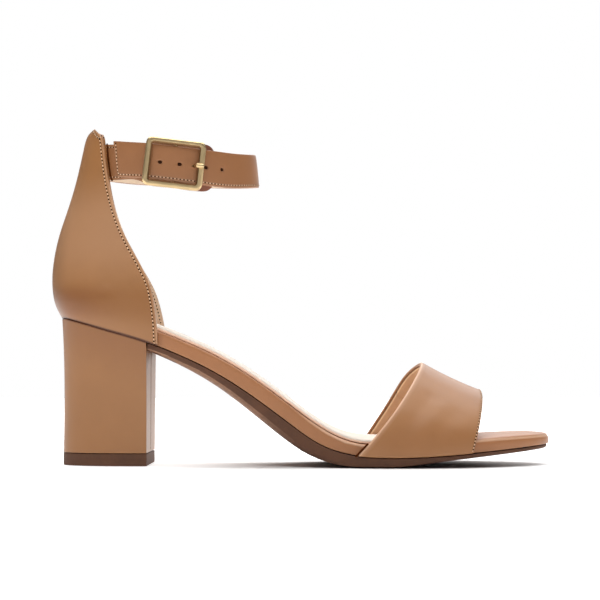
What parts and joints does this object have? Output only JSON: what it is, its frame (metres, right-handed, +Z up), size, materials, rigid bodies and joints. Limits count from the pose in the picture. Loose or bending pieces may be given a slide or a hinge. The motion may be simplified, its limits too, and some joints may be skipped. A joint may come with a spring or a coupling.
{
  "type": "block heel ankle strap sandal",
  "caption": "Open-toe leather sandal for a right foot with a closed back, a wide toe band, a buckled ankle strap and a high block heel.",
  "frame": {"origin": "centre of the shoe's plan, on the floor", "axes": "+X from heel to toe, +Y towards the inner side of the foot, +Z up"},
  "size_m": [0.2481, 0.0863, 0.1673],
  "materials": {
    "tan_leather": "smooth satin",
    "strap_leather": "smooth satin",
    "cream_sock": "matt",
    "dark_sole": "satin",
    "buckle_brass": "satin"
  },
  "bodies": {
    "root": {"outsole": "dark_sole", "footbed": "tan_leather", "insole": "cream_sock", "heel": "tan_leather", "heel_top_piece": "dark_sole", "counter": "tan_leather", "vamp": "tan_leather", "ankle_strap": "strap_leather", "buckle_strap": "strap_leather", "buckle_frame": "buckle_brass", "buckle_prong": "buckle_brass"}
  },
  "joints": []
}
